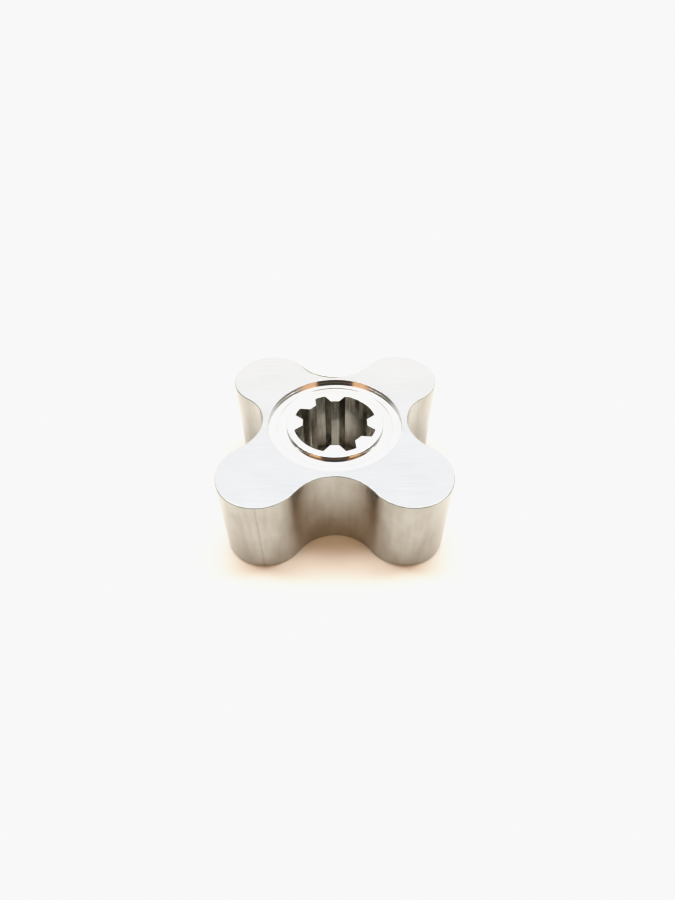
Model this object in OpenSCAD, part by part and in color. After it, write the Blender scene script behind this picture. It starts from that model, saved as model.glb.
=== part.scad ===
// Four-lobed rotor with a splined bore, built up from a lobed body and an inserted sleeve.
// The sleeve goes in from the rear: its collar meets a shoulder inside the body, round keys
// carry the torque, O-rings seal the joint, and a locked ring closes the rear.
// Origin at the centre of the rear face, +Z towards the front face, lobes midway between X and Y.

/* [Lobes] */
// Distance from the axis to each lobe's centre
lobe_pitch_r = 42.5; // [41.5:0.5:44]
// Radius of each lobe's round end
lobe_r = 17.5; // [16.5:0.5:18.5]
// Distance from the axis to the centre of each valley's arc
valley_pitch_r = 50.6; // [50:0.1:52.5]
// Length of the body along the axis
body_length = 40; // [38:1:60]

/* [Front recess] */
// Radius of the round recess in the front face
recess_r = 29; // [27:0.5:29.5]
// Depth of the recess below the front face, beside the boss
recess_depth = 1.9; // [1.5:0.1:4]
// Fillet at the foot of the recess wall
recess_fillet = 0.1; // [0.1:0.1:0.5]
// Radius at which the recess floor steps down towards the boss
floor_step_r = 25; // [24:0.5:26]
// Height of that step
floor_step = 0.25; // [0.05:0.05:0.5]

/* [Sleeve] */
// Outside radius of the sleeve, and of the boss that it forms in the recess
sleeve_r = 21; // [20.4:0.1:22]
// How far the boss's end lies below the front face
boss_drop = 0.35; // [0:0.05:1]
// Radius of the collar inside the body
collar_r = 25; // [24.5:0.1:25.5]
// Length of the collar along the axis
collar_length = 10; // [6:0.5:10]
// How far the sleeve's rear end lies inside the rear face
sleeve_rear_drop = 0.5; // [0.2:0.1:1]

/* [Splined bore] */
// Places for a tooth round the bore
spline_places = 8; // [8]
// Every so many places a tooth is left out, so that the rotor keeps its timing on the shaft
omit_every = 4; // [4]
// Radius over the tooth tips
spline_minor_r = 14; // [13:0.1:14.5]
// Radius at the bottom of the slots
spline_major_r = 18; // [17:0.1:18.3]
// Width of a tooth at its tip
tooth_tip_w = 3.9; // [3:0.1:4.5]
// Width of a tooth at its root
tooth_root_w = 10.3; // [8:0.1:11]
// Radius of the plain pilot bore behind the spline
pilot_r = 18.5; // [18.4:0.1:19]
// Length of the plain pilot bore
pilot_length = 6; // [4:0.5:8]

/* [Round keys] */
// Number of keys, each towards a lobe
key_count = 4; // [2, 4]
// Radius of a key, whose axis lies on the collar's rim
key_r = 2.5; // [1.5:0.1:2.5]

/* [Seals] */
// Radial thickness of a seal ring as squeezed in its groove
seal_t = 2; // [1.5:0.1:2.2]
// Cross-section radius of a seal ring before it is squeezed
seal_section_r = 1.15; // [1.12:0.01:1.2]
// Clear room beside the seal ring, along the axis, on each side
seal_side_gap = 0.15; // [0.1:0.05:0.3]
// Distance from the recess floor down to the middle of the front seal
front_seal_drop = 4; // [3:0.5:5]
// Distance from the shoulder up to the middle of the rear seal
rear_seal_rise = 5; // [3:0.5:5]

/* [Lock ring] */
// Outside radius of the lock ring, at its thread
ring_r = 27; // [26.5:0.1:27.5]
// Length of the lock ring along the axis
ring_length = 7; // [6:0.5:8]
// How far the lock ring lies inside the rear face
ring_drop = 1; // [0.5:0.1:1.5]
// Clear room between the sleeve and the lock ring
ring_bore_gap = 0.3; // [0.2:0.1:0.5]
// Number of spanner slots across the ring's rear face
spanner_slots = 4; // [2, 4]
// Width of a spanner slot
spanner_slot_w = 5; // [3:0.5:6]
// Depth of a spanner slot
spanner_slot_depth = 3; // [2:0.5:3.5]

/* [Lock screws] */
// Number of grub screws on the ring's thread line
screw_count = 2; // [1, 2, 4]
// Radius of a grub screw
screw_r = 2; // [1.5:0.1:2]
// Length of a grub screw
screw_length = 5.5; // [4:0.5:5.5]
// Hexagon socket, across flats
socket_af = 2; // [1.5:0.1:2]
// Depth of the hexagon socket
socket_depth = 2.5; // [1.5:0.1:3]

/* [Edges] */
// Chamfer on turned edges
edge_chamfer = 0.3; // [0.1:0.05:0.4]

/* [Hidden] */

lobe_count = 4;
lobe_step = 360 / lobe_count;
first_lobe = lobe_step / 2;
lobe_x = lobe_pitch_r * cos(first_lobe);
// A lobe's arc and a valley's arc share a tangent on the line between their centres.
centre_gap = norm([lobe_x - valley_pitch_r, lobe_x]);
valley_r = centre_gap - lobe_r;

recess_z = body_length - recess_depth;
recess_ledge_z = recess_z + floor_step;
boss_z = body_length - boss_drop;
ring_seat_z = ring_drop + ring_length;
shoulder_z = ring_seat_z + collar_length;
spline_z = sleeve_rear_drop + pilot_length;
spline_step = 360 / spline_places;

groove_w = 2 * (seal_section_r + seal_side_gap);
front_groove_z = recess_z - front_seal_drop;
rear_groove_z = shoulder_z + rear_seal_rise;
groove_r = sleeve_r + seal_t;

screw_z = ring_drop + edge_chamfer;
past = 1; // cutters run this far beyond the faces that they open
bore_fn = 96;
pin_fn = 48;

// Blank of the rotor: four lobes joined by a web through the lobe and valley centres.
module rotor_outline() {
    difference() {
        union() {
            polygon([
                for (i = [0:2 * lobe_count - 1])
                    let (r = i % 2 == 0 ? valley_pitch_r : lobe_pitch_r)
                    [r * cos(i * first_lobe), r * sin(i * first_lobe)]
            ]);
            for (i = [0:lobe_count - 1])
                rotate(first_lobe + i * lobe_step)
                    translate([lobe_pitch_r, 0]) circle(lobe_r, $fn = bore_fn);
        }
        for (i = [0:lobe_count - 1])
            rotate(i * lobe_step)
                translate([valley_pitch_r, 0]) circle(valley_r, $fn = bore_fn);
    }
}

// Half section, in radius and height, of everything turned out of the body.
module body_bore_section() {
    translate([0, recess_z]) square([floor_step_r, recess_depth + past]);
    translate([0, recess_ledge_z]) square([recess_r - recess_fillet, recess_depth + past]);
    translate([0, recess_ledge_z + recess_fillet]) square([recess_r, recess_depth + past]);
    translate([recess_r - recess_fillet, recess_ledge_z + recess_fillet])
        circle(recess_fillet, $fn = pin_fn);
    polygon([
        [0, -past],
        [ring_r + edge_chamfer + past, -past],
        [ring_r, edge_chamfer],
        [ring_r, ring_seat_z],
        [collar_r, ring_seat_z],
        [collar_r, shoulder_z],
        [sleeve_r, shoulder_z],
        [sleeve_r, recess_z + past],
        [0, recess_z + past]
    ]);
    for (z = [front_groove_z, rear_groove_z])
        translate([0, z - groove_w / 2]) square([groove_r, groove_w]);
}

// Round pockets on the joint lines, shared by the two pieces on each line.
module key_pockets() {
    for (i = [0:key_count - 1])
        rotate(first_lobe + i * 360 / key_count)
            translate([collar_r, 0, ring_seat_z - past])
                cylinder(r = key_r, h = collar_length + past, $fn = pin_fn);
}

module screw_pockets() {
    for (i = [0:screw_count - 1])
        rotate(first_lobe + i * 360 / screw_count)
            translate([ring_r, 0, -past])
                cylinder(r = screw_r, h = screw_z + screw_length + past, $fn = pin_fn);
}

module lobed_body() {
    color("gainsboro")
        difference() {
            linear_extrude(body_length) rotor_outline();
            rotate_extrude($fn = bore_fn) body_bore_section();
            key_pockets();
            screw_pockets();
        }
}

// One tooth as a straight-sided wedge that runs past both the tip and the root circle.
module spline_tooth() {
    slope = (tooth_root_w - tooth_tip_w) / 2 / (spline_major_r - spline_minor_r);
    tip_x = spline_minor_r - past;
    root_x = spline_major_r + past;
    tip_y = tooth_tip_w / 2 - slope * past;
    root_y = tooth_root_w / 2 + slope * past;
    polygon([[tip_x, -tip_y], [root_x, -root_y], [root_x, root_y], [tip_x, tip_y]]);
}

module spline_hole() {
    circle(spline_minor_r, $fn = bore_fn);
    difference() {
        circle(spline_major_r, $fn = bore_fn);
        for (i = [0:spline_places - 1])
            if (i % omit_every != 1)
                rotate(i * spline_step) spline_tooth();
    }
}

// Half section of the sleeve's outside: rear spigot, collar and front barrel.
module sleeve_section() {
    polygon([
        [0, sleeve_rear_drop],
        [sleeve_r - edge_chamfer, sleeve_rear_drop],
        [sleeve_r, sleeve_rear_drop + edge_chamfer],
        [sleeve_r, ring_seat_z],
        [collar_r, ring_seat_z],
        [collar_r, shoulder_z],
        [sleeve_r, shoulder_z],
        [sleeve_r, boss_z - edge_chamfer],
        [sleeve_r - edge_chamfer, boss_z],
        [0, boss_z]
    ]);
}

module splined_sleeve() {
    color("silver")
        difference() {
            rotate_extrude($fn = bore_fn) sleeve_section();
            translate([0, 0, spline_z]) linear_extrude(boss_z) spline_hole();
            translate([0, 0, -past]) cylinder(r = pilot_r, h = spline_z + past, $fn = bore_fn);
            key_pockets();
        }
}

// A straight pin with both ends chamfered, standing on z = 0.
module chamfered_pin(r, length) {
    rotate_extrude($fn = pin_fn)
        polygon([
            [0, 0],
            [r - edge_chamfer, 0],
            [r, edge_chamfer],
            [r, length - edge_chamfer],
            [r - edge_chamfer, length],
            [0, length]
        ]);
}

module round_key(i) {
    color("slategray")
        rotate(first_lobe + (i - 1) * 360 / key_count)
            translate([collar_r, 0, ring_seat_z]) chamfered_pin(key_r, collar_length);
}

// A squeezed O-ring: round section, flattened where it meets the sleeve and the groove.
module seal_ring(z) {
    color("dimgray")
        translate([0, 0, z])
            rotate_extrude($fn = bore_fn)
                translate([sleeve_r + seal_t / 2, 0])
                    intersection() {
                        circle(seal_section_r, $fn = pin_fn);
                        square([seal_t, 2 * seal_section_r + past], center = true);
                    }
}

module lock_ring() {
    ring_bore_r = sleeve_r + ring_bore_gap;
    color("lightsteelblue")
        difference() {
            rotate_extrude($fn = bore_fn)
                polygon([
                    [ring_bore_r + edge_chamfer, ring_drop],
                    [ring_r - edge_chamfer, ring_drop],
                    [ring_r, ring_drop + edge_chamfer],
                    [ring_r, ring_seat_z],
                    [ring_bore_r, ring_seat_z],
                    [ring_bore_r, ring_drop + edge_chamfer]
                ]);
            for (i = [0:spanner_slots - 1])
                rotate(i * 360 / spanner_slots)
                    translate([sleeve_r - past, -spanner_slot_w / 2, ring_drop - past])
                        cube([ring_r - sleeve_r + 2 * past, spanner_slot_w, spanner_slot_depth + past]);
            screw_pockets();
        }
}

module lock_screw(i) {
    color("darkslategray")
        rotate(first_lobe + (i - 1) * 360 / screw_count)
            translate([ring_r, 0, screw_z])
                difference() {
                    chamfered_pin(screw_r, screw_length);
                    translate([0, 0, -past])
                        cylinder(r = socket_af / 2 / cos(30), h = socket_depth + past, $fn = 6);
                }
}

lobed_body();
splined_sleeve();
seal_ring(front_groove_z);  // front_seal_ring
seal_ring(rear_groove_z);  // rear_seal_ring
lock_ring();
for (i = [1:key_count])
    round_key(i);
for (i = [1:screw_count])
    lock_screw(i);
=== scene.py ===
# A four-lobed steel rotor with a splined sleeve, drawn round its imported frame.
import math

import bpy
import numpy as np
from mathutils import Matrix, Vector


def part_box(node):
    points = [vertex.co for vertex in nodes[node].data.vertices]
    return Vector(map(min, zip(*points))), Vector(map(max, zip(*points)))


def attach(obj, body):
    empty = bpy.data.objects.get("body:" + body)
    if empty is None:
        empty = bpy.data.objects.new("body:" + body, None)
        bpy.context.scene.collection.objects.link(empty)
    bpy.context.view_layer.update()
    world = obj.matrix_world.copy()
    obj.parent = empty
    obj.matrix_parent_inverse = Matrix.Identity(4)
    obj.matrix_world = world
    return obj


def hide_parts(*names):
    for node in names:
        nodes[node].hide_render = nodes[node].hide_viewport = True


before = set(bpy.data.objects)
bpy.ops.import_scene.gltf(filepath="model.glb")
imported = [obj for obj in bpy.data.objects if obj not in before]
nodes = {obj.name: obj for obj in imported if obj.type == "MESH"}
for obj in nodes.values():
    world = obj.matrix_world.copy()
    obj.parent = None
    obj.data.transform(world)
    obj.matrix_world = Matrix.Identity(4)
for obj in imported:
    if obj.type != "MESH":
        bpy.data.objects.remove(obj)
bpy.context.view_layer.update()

mm = 0.001
scene = bpy.context.scene


# Ring of points from a flat outline (columns, 2) at one height.
def lifted(flat, height):
    return np.concatenate([flat, np.full((len(flat), 1), height)], axis=1)


# Polyline of pairs such as (radius, height) whose corners become small arcs. A third number is the cut: a
# corner's arc starts at a and ends at b, each that far from the corner, as a*(1-t)^2 + 2*corner*t*(1-t) +
# b*t^2, and a cut of 0 leaves the corner sharp.
def roundedProfile(corners, steps=4):
    corners = np.array(corners, float)
    points = corners[:, :2]
    cuts = corners[:, 2]
    t = np.linspace(0, 1, steps)[:, None]
    rows = [points[:1]]
    for here, before, after, cut in zip(points[1:-1], points[:-2], points[2:], cuts[1:-1]):
        if cut == 0:
            rows.append(here[None])
            continue
        a = here + (before - here) / np.linalg.norm(before - here) * cut
        b = here + (after - here) / np.linalg.norm(after - here) * cut
        rows.append(a * (1 - t) ** 2 + 2 * here * t * (1 - t) + b * t ** 2)
    rows.append(points[-1:])
    return np.vstack(rows)


# Mesh of a grid that closes on itself both ways: the quad of points [row, column], [row, column + 1],
# [row + 1, column + 1] and [row + 1, column] faces outwards, and rowMaterial gives each row's material.
def closedMesh(name, points, rowMaterial, materials):
    rows, columns = points.shape[:2]
    index = np.arange(rows * columns).reshape(rows, columns)
    right = np.roll(index, -1, axis=1)
    above = np.roll(index, -1, axis=0)
    quads = np.stack([index, right, np.roll(right, -1, axis=0), above], axis=-1).reshape(-1, 4)
    mesh = bpy.data.meshes.new(name)
    mesh.vertices.add(rows * columns)
    mesh.vertices.foreach_set("co", points.reshape(-1).astype(np.float32))
    mesh.loops.add(quads.size)
    mesh.loops.foreach_set("vertex_index", quads.reshape(-1).astype(np.int32))
    mesh.polygons.add(len(quads))
    mesh.polygons.foreach_set("loop_start", np.arange(0, quads.size, 4, dtype=np.int32))
    mesh.polygons.foreach_set("material_index", np.repeat(rowMaterial, columns).astype(np.int32))
    mesh.polygons.foreach_set("use_smooth", np.ones(len(quads), bool))
    for material in materials:
        mesh.materials.append(material)
    mesh.update(calc_edges=True)
    mesh.validate()
    piece = bpy.data.objects.new(name, mesh)
    scene.collection.objects.link(piece)
    print(f"made {name}: {len(quads)} faces")
    return piece


# Distance from the axis to the far (side 1) or near (side -1) edge of round pockets centred at centreRadius:
# centreRadius*cos(d) + side*sqrt(pocketRadius^2 - (centreRadius*sin(d))^2), where d is the angle from the
# pocket. Where no pocket is crossed it gives 0 for side 1 and infinity for side -1.
def pocketReach(angle, centreRadius, pocketRadius, directions, side):
    away = (angle[:, None] - directions[None] + math.pi) % (2 * math.pi) - math.pi
    under = pocketRadius ** 2 - (centreRadius * np.sin(away)) ** 2
    hit = (under > 0) & (np.abs(away) < math.pi / 2)
    edge = centreRadius * np.cos(away) + side * np.sqrt(np.maximum(under, 0))
    if side > 0:
        return np.where(hit, edge, 0).max(axis=1)
    return np.where(hit, edge, np.inf).min(axis=1)


# A socket that can be used in Python arithmetic: each operator adds the Math node that does it.
class Value:
    def __init__(self, shader, socket):
        self.shader = shader
        self.socket = socket

    def math(self, operation, *inputs):
        return self.shader.node("ShaderNodeMath", {"operation": operation}, inputs)

    def __add__(self, other):
        return self.math("ADD", self, other)

    def __radd__(self, other):
        return self.math("ADD", other, self)

    def __sub__(self, other):
        return self.math("SUBTRACT", self, other)

    def __rsub__(self, other):
        return self.math("SUBTRACT", other, self)

    def __mul__(self, other):
        return self.math("MULTIPLY", self, other)

    def __rmul__(self, other):
        return self.math("MULTIPLY", other, self)

    def __truediv__(self, other):
        return self.math("DIVIDE", self, other)

    def __rtruediv__(self, other):
        return self.math("DIVIDE", other, self)

    def __pow__(self, other):
        return self.math("POWER", self, other)

    def absolute(self):
        return self.math("ABSOLUTE", self)


# The node tree of a material or a world.
class Shader:
    def __init__(self, owner):
        self.owner = owner
        owner.use_nodes = True
        self.tree = owner.node_tree
        self.tree.nodes.clear()

    # Adds a node of any type, with its settings and then its inputs, and gives one of its outputs.
    def node(self, kind, settings=None, inputs=(), output=0):
        made = self.tree.nodes.new(kind)
        for key, value in (settings or {}).items():
            setattr(made, key, value)
        named = inputs.items() if isinstance(inputs, dict) else enumerate(inputs)
        for key, value in named:
            if isinstance(value, Value):
                self.tree.links.new(value.socket, made.inputs[key])
            else:
                made.inputs[key].default_value = value
        if not made.outputs:
            return None
        return Value(self, made.outputs[output])

    def parts(self, vector):
        return [self.node("ShaderNodeSeparateXYZ", {}, (vector,), axis) for axis in "XYZ"]

    def vector(self, x, y, z):
        return self.node("ShaderNodeCombineXYZ", {}, (x, y, z))

    # Object coordinates in millimetres.
    def place(self):
        raw = self.node("ShaderNodeTexCoord", {}, (), "Object")
        return self.node("ShaderNodeVectorMath", {"operation": "SCALE"}, {"Vector": raw, "Scale": 1 / mm})

    def noise(self, vector, detail=3.0, roughness=0.55, scale=1.0):
        inputs = {"Vector": vector, "Scale": scale, "Detail": detail, "Roughness": roughness}
        return self.node("ShaderNodeTexNoise", {}, inputs, "Fac")

    # Noise of a place whose axes are each multiplied by their own scale: noise(a*x, b*y, c*z).
    def stretched(self, axes, scales, detail):
        return self.noise(self.vector(*[axis * scale for axis, scale in zip(axes, scales)]), detail)

    # Soft noise that is even in all directions.
    def cloud(self, vector, scale):
        return self.noise(vector, 2, 0.5, scale)

    # factor from low to high goes smoothly over the pair to, and is held beyond.
    def ramp(self, factor, low, high, to=(0.0, 1.0)):
        inputs = {"Value": factor, "From Min": low, "From Max": high, "To Min": to[0], "To Max": to[1]}
        return self.node("ShaderNodeMapRange", {"interpolation_type": "SMOOTHSTEP"}, inputs)

    # Colour a where factor is 0 and colour b where it is 1. In a colour Mix node the factor is input 0, the
    # colours are inputs 6 and 7, and the result is output 2.
    def mix(self, factor, a, b):
        a = a if isinstance(a, Value) else (*a, 1)
        b = b if isinstance(b, Value) else (*b, 1)
        return self.node("ShaderNodeMix", {"data_type": "RGBA"}, {0: factor, 6: a, 7: b}, 2)

    def bump(self, height, strength, distance):
        inputs = {"Height": height, "Strength": strength, "Distance": distance}
        return self.node("ShaderNodeBump", {}, inputs)

    # Bare steel with its finish's bump, worked out from height.
    def steel(self, colour, roughness, height, finish):
        normal = self.bump(height, finish["bump"], finish["bumpDepth"])
        sockets = {"Base Color": colour, "Metallic": 1.0, "Roughness": roughness, "Normal": normal}
        return self.surface(sockets)

    def surface(self, sockets):
        shade = self.node("ShaderNodeBsdfPrincipled", {}, sockets)
        self.node("ShaderNodeOutputMaterial", {}, {"Surface": shade})
        return self.owner


def newShader(name):
    return Shader(bpy.data.materials.new(name))


# In every finish, tone is the range of the pattern that goes from the dark colour to the other one, wear is
# the range that goes over the pair of roughnesses, and a scale is a length in the noise for each millimetre.
wallFinish = {
    "light": (0.475, 0.490, 0.475), "dark": (0.41, 0.415, 0.395), "tone": (0.36, 0.64),
    "roughness": (0.17, 0.26), "wear": (0.35, 0.65), "bump": 0.25, "bumpDepth": 0.03 * mm,
    "mottleScales": (0.35, 0.35, 0.06), "grainScales": (1.3, 1.3, 0.12),
    "cloudScale": 0.11, "cloudShare": 0.5,
    "linePlace": (-30.0, -47.5), "lineWidth": 0.9, "lineColour": (0.33, 0.30, 0.26), "lineStrength": 0.45,
    "waver": 1.2, "waverScale": 0.25,
}


# Side walls: soft upright mottling from noise drawn out along the axis over even noise, a finer grain along
# the axis, and one cutter's witness line, which is at its full strength where the distance in plan from
# linePlace, plus waver*(noise(z) - 0.5), is 0, and fades out at lineWidth.
def milledWall():
    s = newShader("milledWall")
    place = s.place()
    x, y, z = s.parts(place)
    mottle = s.stretched((x, y, z), wallFinish["mottleScales"], detail=3)
    cloud = s.cloud(place, wallFinish["cloudScale"])
    grain = s.stretched((x, y, z), wallFinish["grainScales"], detail=1)
    pattern = mottle * (1 - wallFinish["cloudShare"]) + cloud * wallFinish["cloudShare"]
    colour = s.mix(s.ramp(pattern, *wallFinish["tone"]), wallFinish["dark"], wallFinish["light"])
    lineX, lineY = wallFinish["linePlace"]
    fromLine = ((x - lineX) ** 2 + (y - lineY) ** 2) ** 0.5
    drift = s.noise(s.vector(0.0, 0.0, z * wallFinish["waverScale"]), detail=2) - 0.5
    line = s.ramp(fromLine + drift * wallFinish["waver"], wallFinish["lineWidth"], 0.0)
    colour = s.mix(line * wallFinish["lineStrength"], colour, wallFinish["lineColour"])
    roughness = s.ramp(pattern, *wallFinish["wear"], wallFinish["roughness"])
    return s.steel(colour, roughness, grain, wallFinish)


faceFinish = {
    "light": (0.43, 0.43, 0.43), "dark": (0.40, 0.40, 0.40), "tone": (0.36, 0.64),
    "roughness": (0.14, 0.22), "wear": (0.3, 0.7), "bump": 0.08, "bumpDepth": 0.03 * mm,
    "lineScales": (0.05, 2.2, 1.0), "fineScales": (0.2, 5.0, 1.0), "cloudScales": (0.05, 0.07, 1.0),
    "cloudShare": 0.4,
}


# End faces: straight grinding lines along X from noise drawn out along it, faint and uneven.
def groundFace():
    s = newShader("groundFace")
    axes = s.parts(s.place())
    line = s.stretched(axes, faceFinish["lineScales"], detail=4)
    fine = s.stretched(axes, faceFinish["fineScales"], detail=1)
    cloud = s.stretched(axes, faceFinish["cloudScales"], detail=2)
    pattern = line * (1 - faceFinish["cloudShare"]) + cloud * faceFinish["cloudShare"]
    colour = s.mix(s.ramp(pattern, *faceFinish["tone"]), faceFinish["dark"], faceFinish["light"])
    roughness = s.ramp(line * 0.5 + cloud * 0.5, *faceFinish["wear"], faceFinish["roughness"])
    return s.steel(colour, roughness, fine * 0.5 + line * 0.5, faceFinish)


turnedFinishes = {
    "turnedSteel": {"light": (0.54, 0.53, 0.515), "dark": (0.47, 0.46, 0.445), "roughness": (0.07, 0.12)},
    "insideSteel": {"light": (0.56, 0.55, 0.53), "dark": (0.46, 0.45, 0.43), "roughness": (0.28, 0.40)},
    "ringSteel": {"light": (0.62, 0.62, 0.63), "dark": (0.52, 0.52, 0.53), "roughness": (0.22, 0.34)},
    "keySteel": {"light": (0.55, 0.55, 0.57), "dark": (0.45, 0.45, 0.47), "roughness": (0.15, 0.25)},
}
turning = {
    "tone": (0.34, 0.66), "wear": (0.3, 0.7), "bump": 0.08, "bumpDepth": 0.05 * mm,
    "ringScale": 3.2, "fineScale": 6.0, "fineSlice": 3.0, "cloudScale": 0.12, "cloudShare": 0.4,
}


# Turned surfaces: fine rings round the axis from noise(sqrt(x^2 + y^2), z), with a slow cloud over them. A
# finer ring pattern, read from another slice of the noise, is added to the bump alone.
def turnedFace(name):
    finish = turnedFinishes[name]
    s = newShader(name)
    place = s.place()
    x, y, z = s.parts(place)
    radius = (x * x + y * y) ** 0.5
    ringScale = turning["ringScale"]
    fineScale = turning["fineScale"]
    ring = s.noise(s.vector(radius * ringScale, z * ringScale, 0.0), detail=3)
    fine = s.noise(s.vector(radius * fineScale, z * fineScale, turning["fineSlice"]), detail=1)
    cloud = s.cloud(place, turning["cloudScale"])
    pattern = ring * (1 - turning["cloudShare"]) + cloud * turning["cloudShare"]
    colour = s.mix(s.ramp(pattern, *turning["tone"]), finish["dark"], finish["light"])
    roughness = s.ramp(pattern, *turning["wear"], finish["roughness"])
    return s.steel(colour, roughness, fine * 0.5 + ring * 0.5, turning)


boreFinish = {
    "light": (0.64, 0.64, 0.595), "dark": (0.44, 0.425, 0.38), "tone": (0.36, 0.64),
    "roughness": (0.10, 0.19), "wear": (0.3, 0.7), "bump": 0.12, "bumpDepth": 0.06 * mm,
    "scoreScales": (2.5, 2.5, 0.09), "cloudScale": 0.15, "cloudShare": 0.4,
}


# Bore walls: scores along the axis from noise drawn out along it.
def broachedBore():
    s = newShader("broachedBore")
    place = s.place()
    score = s.stretched(s.parts(place), boreFinish["scoreScales"], detail=3)
    cloud = s.cloud(place, boreFinish["cloudScale"])
    pattern = score * (1 - boreFinish["cloudShare"]) + cloud * boreFinish["cloudShare"]
    colour = s.mix(s.ramp(pattern, *boreFinish["tone"]), boreFinish["dark"], boreFinish["light"])
    roughness = s.ramp(score, *boreFinish["wear"], boreFinish["roughness"])
    return s.steel(colour, roughness, score, boreFinish)


rubberFinish = {
    "dark": (0.02, 0.02, 0.021), "bloom": (0.05, 0.05, 0.05), "tone": (0.35, 0.7),
    "roughness": (0.5, 0.7), "wear": (0.3, 0.7), "bump": 0.2, "bumpDepth": 0.05 * mm,
    "bloomScale": 0.4, "grainScale": 8.0,
}


# Seal rings: near-black rubber with a faint bloom and a fine grain.
def mouldedRubber():
    s = newShader("mouldedRubber")
    place = s.place()
    bloom = s.noise(place, detail=3, roughness=0.6, scale=rubberFinish["bloomScale"])
    grain = s.noise(place, detail=2, roughness=0.6, scale=rubberFinish["grainScale"])
    colour = s.mix(s.ramp(bloom, *rubberFinish["tone"]), rubberFinish["dark"], rubberFinish["bloom"])
    roughness = s.ramp(bloom, *rubberFinish["wear"], rubberFinish["roughness"])
    normal = s.bump(grain, rubberFinish["bump"], rubberFinish["bumpDepth"])
    return s.surface({"Base Color": colour, "Roughness": roughness, "Normal": normal})


oxideFinish = {
    "dark": (0.045, 0.045, 0.05), "worn": (0.16, 0.155, 0.15), "tone": (0.5, 0.75),
    "roughness": (0.42, 0.30), "wear": (0.3, 0.7), "bump": 0.1, "bumpDepth": 0.05 * mm, "wornScale": 1.2,
}


# Grub screws: thin black oxide over steel, worn a little lighter in patches.
def blackOxide():
    s = newShader("blackOxide")
    worn = s.noise(s.place(), detail=3, roughness=0.6, scale=oxideFinish["wornScale"])
    colour = s.mix(s.ramp(worn, *oxideFinish["tone"]), oxideFinish["dark"], oxideFinish["worn"])
    roughness = s.ramp(worn, *oxideFinish["wear"], oxideFinish["roughness"])
    return s.steel(colour, roughness, worn, oxideFinish)


wallSteel = milledWall()
faceSteel = groundFace()
turnedSteel = turnedFace("turnedSteel")
insideSteel = turnedFace("insideSteel")
boreSteel = broachedBore()
print("made the materials")

bodyLow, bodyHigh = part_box("lobed_body")
sleeveLow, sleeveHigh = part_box("splined_sleeve")
keyLow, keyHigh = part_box("round_key_1")
screwLow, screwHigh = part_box("lock_screw_1")
sealBoxes = [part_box("front_seal_ring"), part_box("rear_seal_ring")]
lobeDirections = math.pi / 4 + math.pi / 2 * np.arange(4)
screwDirections = math.pi / 4 + math.pi * np.arange(2)
keyRadius = (keyHigh.x - keyLow.x) / 2
collarRadius = (keyHigh.x + keyLow.x) / 2 * math.sqrt(2)  # the keys' axes lie on the collar's rim
screwRadius = (screwHigh.x - screwLow.x) / 2
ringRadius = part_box("lock_ring")[1].x

body = {
    "columns": 720, "wallRows": 8, "faceRows": 7, "footRows": 5, "softRow": 0.08 * mm,
    "lobeRadius": 17.5 * mm, "valleyPitch": 50.6 * mm,
    "edge": 0.3 * mm, "edgeRounding": 0.08 * mm,
    "uneven": 0.25, "wideAt": 1.66, "wideOver": 0.16, "wideBy": 3.2,  # wideAt is from +X, in radians
    "recessRadius": 29 * mm, "recessDepth": 1.9 * mm, "recessFillet": 0.1 * mm, "recessEdge": 0.12 * mm,
    "stepRadius": 25 * mm, "step": 0.25 * mm,
    "sleeveRadius": 21 * mm, "grooveWidth": 2.6 * mm, "chamfer": 0.3 * mm, "screwLip": 0.01 * mm,
}


# Outline of the lobes and valleys, as points and outward normals. An eighth runs from a valley's bottom to a
# lobe's tip: a valley arc V + v*(-cos a, sin a) and then a lobe arc L + l*(cos b, sin b), which share a
# tangent. The other eighths are its mirror images and quarter turns.
def lobedOutline(columns):
    lobeRadius = body["lobeRadius"]
    valleyPitch = body["valleyPitch"]
    lobeX = bodyHigh.x - lobeRadius
    gap = np.array([valleyPitch - lobeX, -lobeX])
    valleyRadius = np.linalg.norm(gap) - lobeRadius
    meet = math.atan2(-gap[1], gap[0])
    valleyRun = valleyRadius * meet
    lobeRun = lobeRadius * (meet + math.pi / 4)
    eighth = 8 * np.arange(columns) / columns
    quarter = np.floor(eighth / 2)
    within = eighth - 2 * quarter
    mirrored = within > 1
    run = np.where(mirrored, 2 - within, within) * (valleyRun + lobeRun)
    inValley = run < valleyRun
    turn = np.where(inValley, run / valleyRadius, (run - valleyRun) / lobeRadius - meet)
    cosTurn = np.cos(turn)
    sinTurn = np.sin(turn)
    x = np.where(inValley, valleyPitch - valleyRadius * cosTurn, lobeX + lobeRadius * cosTurn)
    y = np.where(inValley, valleyRadius * sinTurn, lobeX + lobeRadius * sinTurn)
    nx = cosTurn
    ny = np.where(inValley, -sinTurn, sinTurn)
    x, y = np.where(mirrored, y, x), np.where(mirrored, x, y)
    nx, ny = np.where(mirrored, ny, nx), np.where(mirrored, nx, ny)
    c = np.cos(quarter * math.pi / 2)
    s = np.sin(quarter * math.pi / 2)
    points = np.stack([x * c - y * s, x * s + y * c], axis=1)
    normals = np.stack([nx * c - ny * s, nx * s + ny * c], axis=1)
    return points, normals


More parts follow.
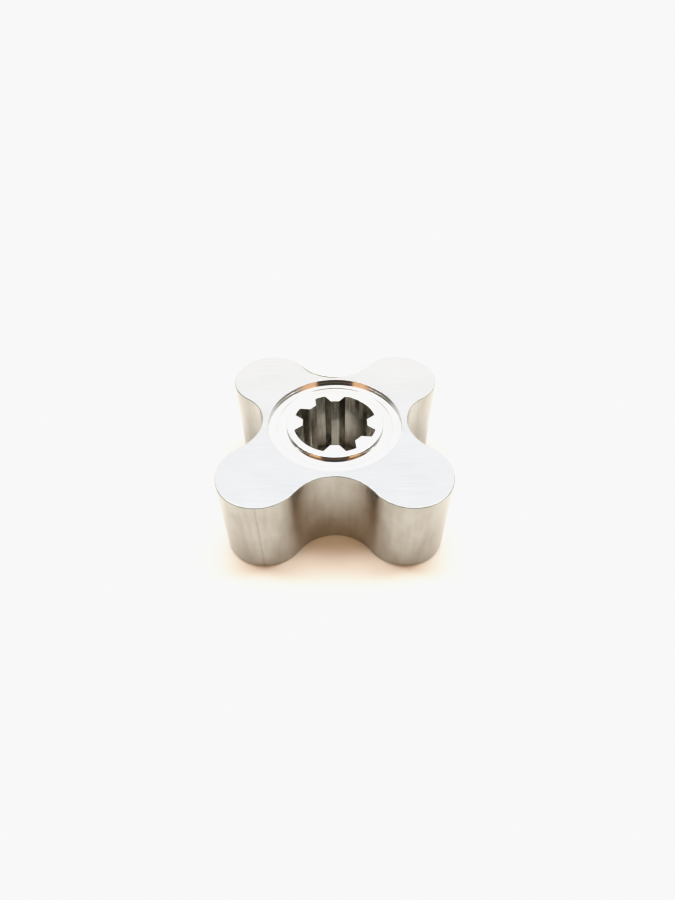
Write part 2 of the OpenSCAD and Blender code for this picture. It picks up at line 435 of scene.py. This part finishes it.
# (radius, height) of everything turned out of the body behind its recess: the front bore and its seal groove,
# the rear groove, the collar's room and the lock ring's room, down to the chamfer at the rear face.
def steppedBore(floor, foot):
    bore = body["sleeveRadius"]
    half = body["grooveWidth"] / 2
    chamfer = body["chamfer"]
    steps = []
    for low, high in sealBoxes:
        middle = (low.z + high.z) / 2
        steps += [(bore, middle + half), (high.x, middle + half)]
        steps += [(high.x, middle - half), (bore, middle - half)]
    steps += [(bore, keyHigh.z), (collarRadius, keyHigh.z), (collarRadius, keyLow.z), (ringRadius, keyLow.z)]
    steps += [(ringRadius, screwHigh.z), (ringRadius, screwHigh.z - body["screwLip"])]
    steps += [(ringRadius, foot + chamfer), (ringRadius + chamfer, foot)]
    return steps


# Lobed body as one ring-shaped grid: up the outline, over the front edge, across the face, down the recess
# and the stepped bore, and back across the rear face. Rows are outline - normal*inset for the outside,
# (radius*cos, radius*sin, height) for what is turned, and straight blends between the two on the faces. The
# front edge's inset is uneven: at the angle a it is multiplied by 1 + uneven*sin(3a + 1)*cos(5a) +
# wideBy*exp(-((a - wideAt)/wideOver)^2), which makes it widest at the angle wideAt. Rows set a little way
# beyond each rounded corner keep its shading off the flats.
def makeBody():
    columns = body["columns"]
    angle = 2 * math.pi * np.arange(columns) / columns
    spoke = np.stack([np.cos(angle), np.sin(angle)], axis=1)
    outline, normal = lobedOutline(columns)
    edge = body["edge"]
    soft = body["softRow"]
    top = bodyHigh.z
    foot = bodyLow.z
    rounding = body["edgeRounding"]
    edgeBreak = roundedProfile([
        (0, edge + 2 * soft, 0), (0, edge, rounding), (edge, 0, rounding), (edge + 2 * soft, 0, 0),
    ])
    rows = []
    use = []

    def add(flat, height, material):
        rows.append(lifted(flat, height))
        use.append(material)

    turn = angle[:, None]
    away = np.abs(turn - body["wideAt"])
    uneven = 1 + body["uneven"] * np.sin(3 * turn + 1) * np.cos(5 * turn)
    uneven = uneven + body["wideBy"] * np.exp(-(away / body["wideOver"]) ** 2)
    for inset, rise in edgeBreak[::-1]:
        add(outline - normal * inset, foot + rise, 0)
    for height in np.linspace(foot + edge, top - edge, body["wallRows"])[1:-1]:
        add(outline, height, 0)
    for inset, drop in edgeBreak:
        add(outline - normal * inset * uneven, top - drop, 0)
    use[0] = 1
    use[-1] = 1
    wall = body["recessRadius"]
    recessEdge = body["recessEdge"]
    rim = wall + 2 * recessEdge
    faceEdge = rows[-1][:, :2]
    for share in np.linspace(0, 1, body["faceRows"] + 1)[1:]:
        add(faceEdge * (1 - share) + spoke * rim * share, top, 1)

    floor = top - body["recessDepth"]
    ledge = floor + body["step"]
    step = body["stepRadius"]
    bore = body["sleeveRadius"]
    fillet = body["recessFillet"]
    recess = roundedProfile([
        (rim, top, 0), (wall, top, recessEdge), (wall, top - 3 * recessEdge, 0),
        (wall, ledge + 2 * fillet, 0), (wall, ledge, fillet), (wall - 3 * fillet, ledge, 0),
        (step + soft, ledge, 0), (step, ledge, 0), (step, floor, 0), (step - soft, floor, 0),
        (bore + soft, floor, 0), (bore, floor, 0),
    ])[1:]
    for radius, height in recess:
        add(spoke * radius, height, 2)

    keyPocket = pocketReach(angle, collarRadius, keyRadius, lobeDirections, 1)
    screwPocket = pocketReach(angle, ringRadius, screwRadius, screwDirections, 1)
    for radius, height in steppedBore(floor, foot):
        wide = np.full(columns, radius)
        if keyLow.z <= height <= keyHigh.z and radius >= collarRadius:
            wide = np.maximum(wide, keyPocket)
        if height < screwHigh.z:
            wide = np.maximum(wide, screwPocket)
        add(spoke * wide[:, None], height, 3)
    use[-1] = 1
    inner = rows[-1][:, :2]
    outer = rows[0][:, :2]
    for share in np.linspace(0, 1, body["footRows"] + 2)[1:-1]:
        add(inner * (1 - share) + outer * share, foot, 1)
    steels = [wallSteel, faceSteel, turnedSteel, insideSteel]
    return closedMesh("lobedBody", np.stack(rows), np.array(use), steels)


sleeve = {
    "columns": 1080, "faceRows": 5, "splineRows": 10, "curveRows": 4, "cornerRows": 5,
    "tipRadius": 14 * mm, "rootRadius": 18 * mm, "tipWidth": 3.9 * mm, "rootWidth": 10.3 * mm,
    "places": 8, "emptyPlaces": (1, 5), "cornerSoftness": 0.12 * mm, "mouth": 0.12 * mm,
    "pilotRadius": 18.5 * mm, "pilotLength": 6 * mm,
}


# Larger of a and b with a rounded corner: (a + b + sqrt((a - b)^2 + softness^2)) / 2.
def softMax(a, b, softness):
    return (a + b + np.sqrt((a - b) ** 2 + softness ** 2)) / 2


# Distance from the axis to the splined wall. A tooth's flank is the line y = tip/2 + (x - tipRadius)*k, in
# polar form radius = (k*tipRadius - tip/2) / (k*cos(d) - sin(d)) at the angle d from its tooth. It is held
# between the tip and root circles, with corners rounded by softMax.
def splineRadius(angle):
    tip = np.full_like(angle, sleeve["tipRadius"])
    root = np.full_like(angle, sleeve["rootRadius"])
    k = (sleeve["rootWidth"] - sleeve["tipWidth"]) / 2 / (sleeve["rootRadius"] - sleeve["tipRadius"])
    step = 2 * math.pi / sleeve["places"]
    place = np.round(angle / step) % sleeve["places"]
    away = np.abs((angle + step / 2) % step - step / 2)
    flank = (k * tip - sleeve["tipWidth"] / 2) / (k * np.cos(away) - np.sin(away))
    flank = np.where(np.isin(place, sleeve["emptyPlaces"]), 2 * root, flank)
    flank = softMax(flank, tip, sleeve["cornerSoftness"])
    return -softMax(-flank, -root, sleeve["cornerSoftness"])


# Splined sleeve as one ring-shaped grid: up its outside and over the collar, across the boss's end, down the
# splined wall, along the pilot bore and back across the rear end. Every row is (r*cos, r*sin, height), and at
# both mouths of the bore r and the height follow a quarter circle.
def makeSleeve():
    columns = sleeve["columns"]
    angle = 2 * math.pi * np.arange(columns) / columns
    spoke = np.stack([np.cos(angle), np.sin(angle)], axis=1)
    outer = body["sleeveRadius"]
    chamfer = body["chamfer"]
    soft = body["softRow"]
    mouth = sleeve["mouth"]
    notch = pocketReach(angle, collarRadius, keyRadius, lobeDirections, -1)
    start = outer - 1.5 * chamfer  # a row on each end face, just inside its chamfer
    outside = roundedProfile([
        (start, sleeveLow.z, 0), (outer, sleeveLow.z, chamfer), (outer, keyLow.z, 0),
        (collarRadius, keyLow.z, 0), (collarRadius, keyHigh.z, 0), (outer, keyHigh.z, 0),
        (outer, sleeveHigh.z, chamfer), (start, sleeveHigh.z, 0),
    ], sleeve["cornerRows"])
    rows = []
    use = []

    def add(radius, height, material):
        rows.append(lifted(spoke * np.broadcast_to(radius, columns)[:, None], height))
        use.append(material)

    for radius, height in outside:
        add(np.minimum(radius, notch) if keyLow.z <= height <= keyHigh.z else radius, height, 0)
    wall = splineRadius(angle)
    for share in np.linspace(0, 1, sleeve["faceRows"] + 1)[1:]:
        add(start * (1 - share) + (wall + mouth + soft) * share, sleeveHigh.z, 0)
    quarterTurn = np.linspace(0, math.pi / 2, sleeve["curveRows"])
    for a in quarterTurn:
        add(wall + mouth * (1 - math.sin(a)), sleeveHigh.z - mouth * (1 - math.cos(a)), 1)
    splineEnd = sleeveLow.z + sleeve["pilotLength"]
    for height in np.linspace(sleeveHigh.z - mouth - soft, splineEnd, sleeve["splineRows"]):
        add(wall, height, 1)
    pilot = sleeve["pilotRadius"]
    for height in (splineEnd, splineEnd - soft, sleeveLow.z + chamfer + soft):
        add(pilot, height, 0)
    for a in quarterTurn:
        add(pilot + chamfer * (1 - math.cos(a)), sleeveLow.z + chamfer * (1 - math.sin(a)), 0)
    return closedMesh("splinedSleeve", np.stack(rows), np.array(use), [turnedSteel, boreSteel])


lobedBody = makeBody()
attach(lobedBody, "root")
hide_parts("lobed_body")

splinedSleeve = makeSleeve()
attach(splinedSleeve, "root")
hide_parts("splined_sleeve")

rubber = mouldedRubber()
finishes = {
    "lock_ring": turnedFace("ringSteel"), "round_key": turnedFace("keySteel"), "lock_screw": blackOxide(),
    "front_seal": rubber, "rear_seal": rubber,
}
for name, cadNode in nodes.items():
    for start, material in finishes.items():
        if name.startswith(start):
            cadNode.data.materials.clear()
            cadNode.data.materials.append(material)
print("finished the carried-over nodes")

stage = {
    "floorSide": 8.0, "floorColour": (0.80, 0.77, 0.72, 1), "floorRoughness": 0.5,
}


# Flat square floor under the object's foot.
def makeFloor():
    half = stage["floorSide"] / 2
    mesh = bpy.data.meshes.new("paleFloor")
    corners = [(-half, -half, 0), (half, -half, 0), (half, half, 0), (-half, half, 0)]
    mesh.from_pydata(corners, [], [(0, 1, 2, 3)])
    sockets = {"Base Color": stage["floorColour"], "Roughness": stage["floorRoughness"]}
    mesh.materials.append(newShader("paleFloor").surface(sockets))
    floor = bpy.data.objects.new("paleFloor", mesh)
    scene.collection.objects.link(floor)
    return floor


# Colours of the room's light, each followed by the limits between which it fades in. The limits are parts of
# a direction of length 1, except that spread is |x| / sqrt(x^2 + y^2).
room = {
    "horizon": (0.35, 0.35, 0.26),
    "low": (2.12, 2.06, 1.98), "lowHeight": (0.25, 0.40),
    "high": (1.94, 2.00, 2.09), "highHeight": (0.5, 0.8),
    "warm": (0.47, 0.24, 0.10), "warmDepth": (0.25, -0.05),
    "amber": (3.2, 2.1, 1.28), "amberSpread": (0.98, 0.85),
    "amberFoot": (0.52, 0.60), "amberHead": (0.85, 0.78),
    "grey": (0.19, 0.185, 0.175), "greySpread": (0.56, 0.49),
    "dim": (0.60, 0.57, 0.53), "dimRays": (2.6, 2.4),  # the world counts a first reflection as ray 2
    "left": (0.62, 0.57, 0.52), "right": (1.0, 0.96, 0.90),
    "sideWidth": (0.60, 0.75), "sideChange": (-0.2, 0.2),
    "lamp": (18.0, 18.0, 18.0), "lampFront": (0.08, 0.14), "lampBack": (0.32, 0.26), "lampEnds": (0.60, 0.50),
    "lampHeight": (0.70, 0.75), "lampMiddle": (0.25, 0.40), "lampMiddleShare": (0.5, 1.0),
    "plain": (0.93, 0.93, 0.93),
}


# Soft room light by direction: white above and behind and dull at the horizon, a long lamp overhead that is
# dimmer in its middle, a dim warm wall on the viewer's side with an amber lamp either side of its grey
# middle, and greyer panels left and right. A first reflection of the viewer's side is an even dim grey, and
# the view past the floor is plain.
def lightRoom():
    s = Shader(bpy.data.worlds.new("softRoom"))
    x, y, z = s.parts(s.node("ShaderNodeTexCoord", {}, (), "Generated"))
    wide = x.absolute()
    spread = wide / (x * x + y * y) ** 0.5
    white = s.mix(s.ramp(z, *room["lowHeight"]), room["horizon"], room["low"])
    white = s.mix(s.ramp(z, *room["highHeight"]), white, room["high"])
    raised = s.ramp(z, *room["amberFoot"])
    lit = s.ramp(spread, *room["amberSpread"]) * raised * s.ramp(z, *room["amberHead"])
    near = s.mix(lit, room["warm"], room["amber"])
    near = s.mix(s.ramp(spread, *room["greySpread"]) * raised, near, room["grey"])
    glossy = s.node("ShaderNodeLightPath", {}, (), "Is Glossy Ray")
    depth = s.node("ShaderNodeLightPath", {}, (), "Ray Depth")
    near = s.mix(glossy * s.ramp(depth, *room["dimRays"]), near, room["dim"])
    light = s.mix(s.ramp(y, *room["warmDepth"]), white, near)
    panel = s.mix(s.ramp(x, *room["sideChange"]), room["left"], room["right"])
    light = s.mix(s.ramp(wide, *room["sideWidth"]), light, panel)
    across = s.ramp(y, *room["lampFront"]) * s.ramp(y, *room["lampBack"]) * s.ramp(z, *room["lampHeight"])
    along = s.ramp(wide, *room["lampEnds"]) * s.ramp(wide, *room["lampMiddle"], room["lampMiddleShare"])
    light = s.mix(across * along, light, room["lamp"])
    seen = s.node("ShaderNodeLightPath", {}, (), "Is Camera Ray")
    light = s.mix(seen, light, room["plain"])
    background = s.node("ShaderNodeBackground", {}, {"Color": light, "Strength": 1.0})
    s.node("ShaderNodeOutputWorld", {}, {"Surface": background})
    scene.world = s.owner


makeFloor()
lightRoom()

camera = {
    "pitch": 45.928, "yaw": 0.2559, "roll": 0.3438,
    "distance": 276.07 * mm, "target": (1.061 * mm, 21.566 * mm, 0.0),
    "lens": 21.388, "sensorWidth": 36, "clipStart": 0.01, "clipEnd": 50,
}


# Camera that looks along +Y and down by pitch at target, from distance. Its right and up axes are turned by
# roll about its line of sight, and the whole is turned by yaw about the object's axis.
def makeCamera():
    pitch = math.radians(camera["pitch"])
    roll = math.radians(camera["roll"])
    right = Vector((1, 0, 0))
    up = Vector((0, math.sin(pitch), math.cos(pitch)))
    back = Vector((0, -math.cos(pitch), math.sin(pitch)))
    place = Vector(camera["target"]) + back * camera["distance"]
    rolledRight = right * math.cos(roll) - up * math.sin(roll)
    rolledUp = right * math.sin(roll) + up * math.cos(roll)
    turn = Matrix.Rotation(math.radians(camera["yaw"]), 4, "Z")
    axes = Matrix((rolledRight, rolledUp, back)).transposed().to_4x4()
    lens = bpy.data.cameras.new("mainCamera")
    lens.lens = camera["lens"]
    lens.sensor_width = camera["sensorWidth"]
    lens.clip_start = camera["clipStart"]
    lens.clip_end = camera["clipEnd"]
    piece = bpy.data.objects.new("mainCamera", lens)
    piece.matrix_world = turn @ Matrix.Translation(place) @ axes
    scene.collection.objects.link(piece)
    scene.camera = piece


# Light to picture: shadows a little darker, middle tones a little steeper, and levelling off under white.
toneCurve = [(0.1, 0.075), (0.25, 0.225), (0.5, 0.5), (0.7, 0.73), (0.85, 0.88), (1.0, 0.94)]


def setTones():
    view = scene.view_settings
    view.view_transform = "Standard"
    view.use_curve_mapping = True
    curve = view.curve_mapping.curves[3]  # the curve for all colours together
    curve.points[-1].location = toneCurve[-1]
    for place in toneCurve[:-1]:
        curve.points.new(*place)
    view.curve_mapping.extend = "HORIZONTAL"
    view.curve_mapping.update()


makeCamera()
setTones()
print("set the floor, the light and the camera")
